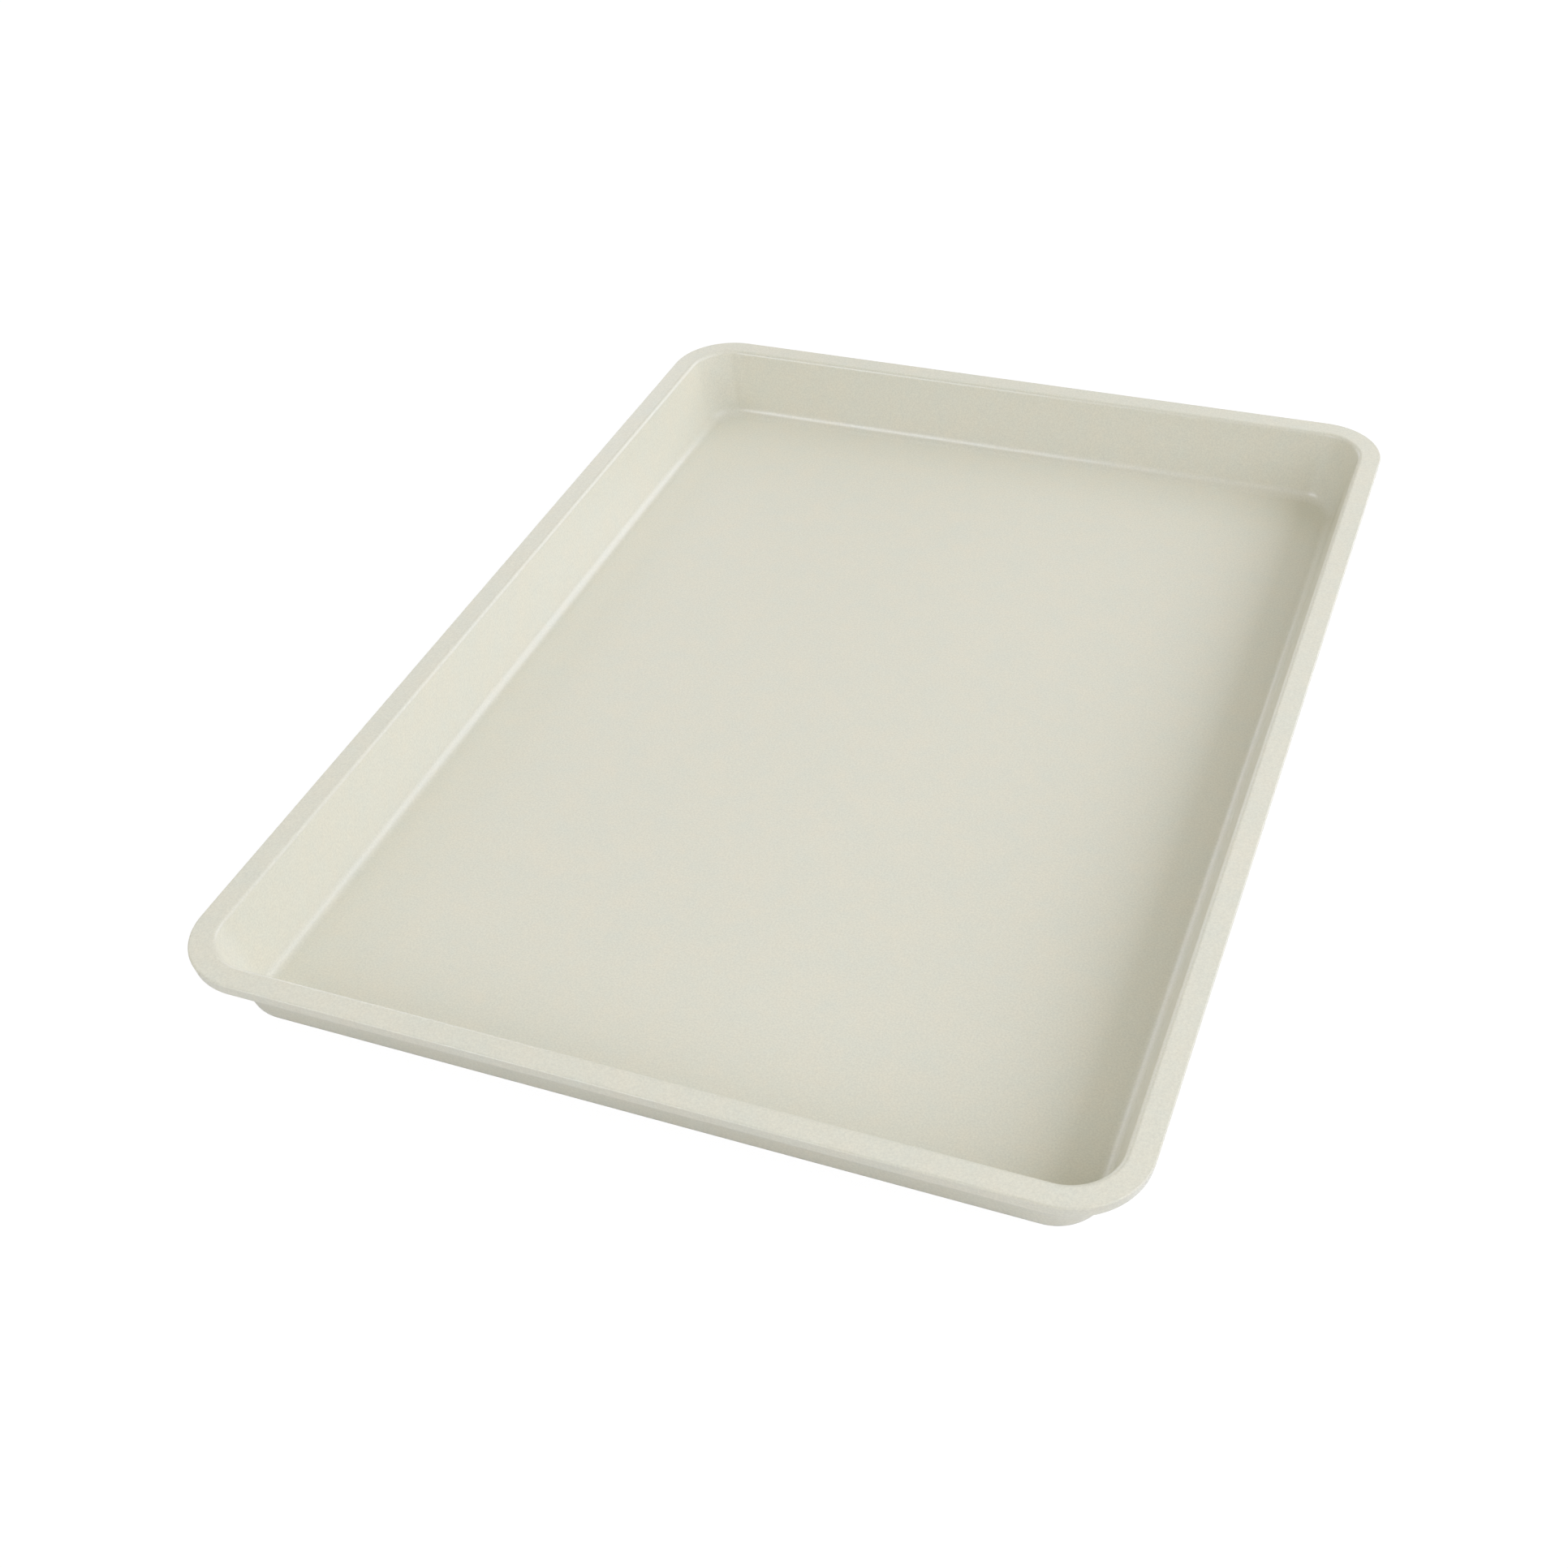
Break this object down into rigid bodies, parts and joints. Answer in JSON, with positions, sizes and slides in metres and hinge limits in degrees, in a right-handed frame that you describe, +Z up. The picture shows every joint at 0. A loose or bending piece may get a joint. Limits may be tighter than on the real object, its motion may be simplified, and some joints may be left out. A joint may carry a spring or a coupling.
{
  "type": "rimmed tray",
  "caption": "Shallow rectangular pressed steel tray with drafted walls, rounded corners and a flat wired rim, for holding paint, tools, parts or food.",
  "frame": {"origin": "centre of the tray's footprint, on the underside of the floor", "axes": "+X across the short side, +Y along the long side, +Z up out of the open top"},
  "size_m": [0.3302, 0.4572, 0.031],
  "materials": {
    "coating": "satin cream coating on pressed steel sheet, inside and out",
    "wire": "plain drawn steel wire, hidden inside the rim's hem"
  },
  "bodies": {
    "root": {"pan_shell": "coating", "rim_wire": "wire"}
  },
  "joints": []
}
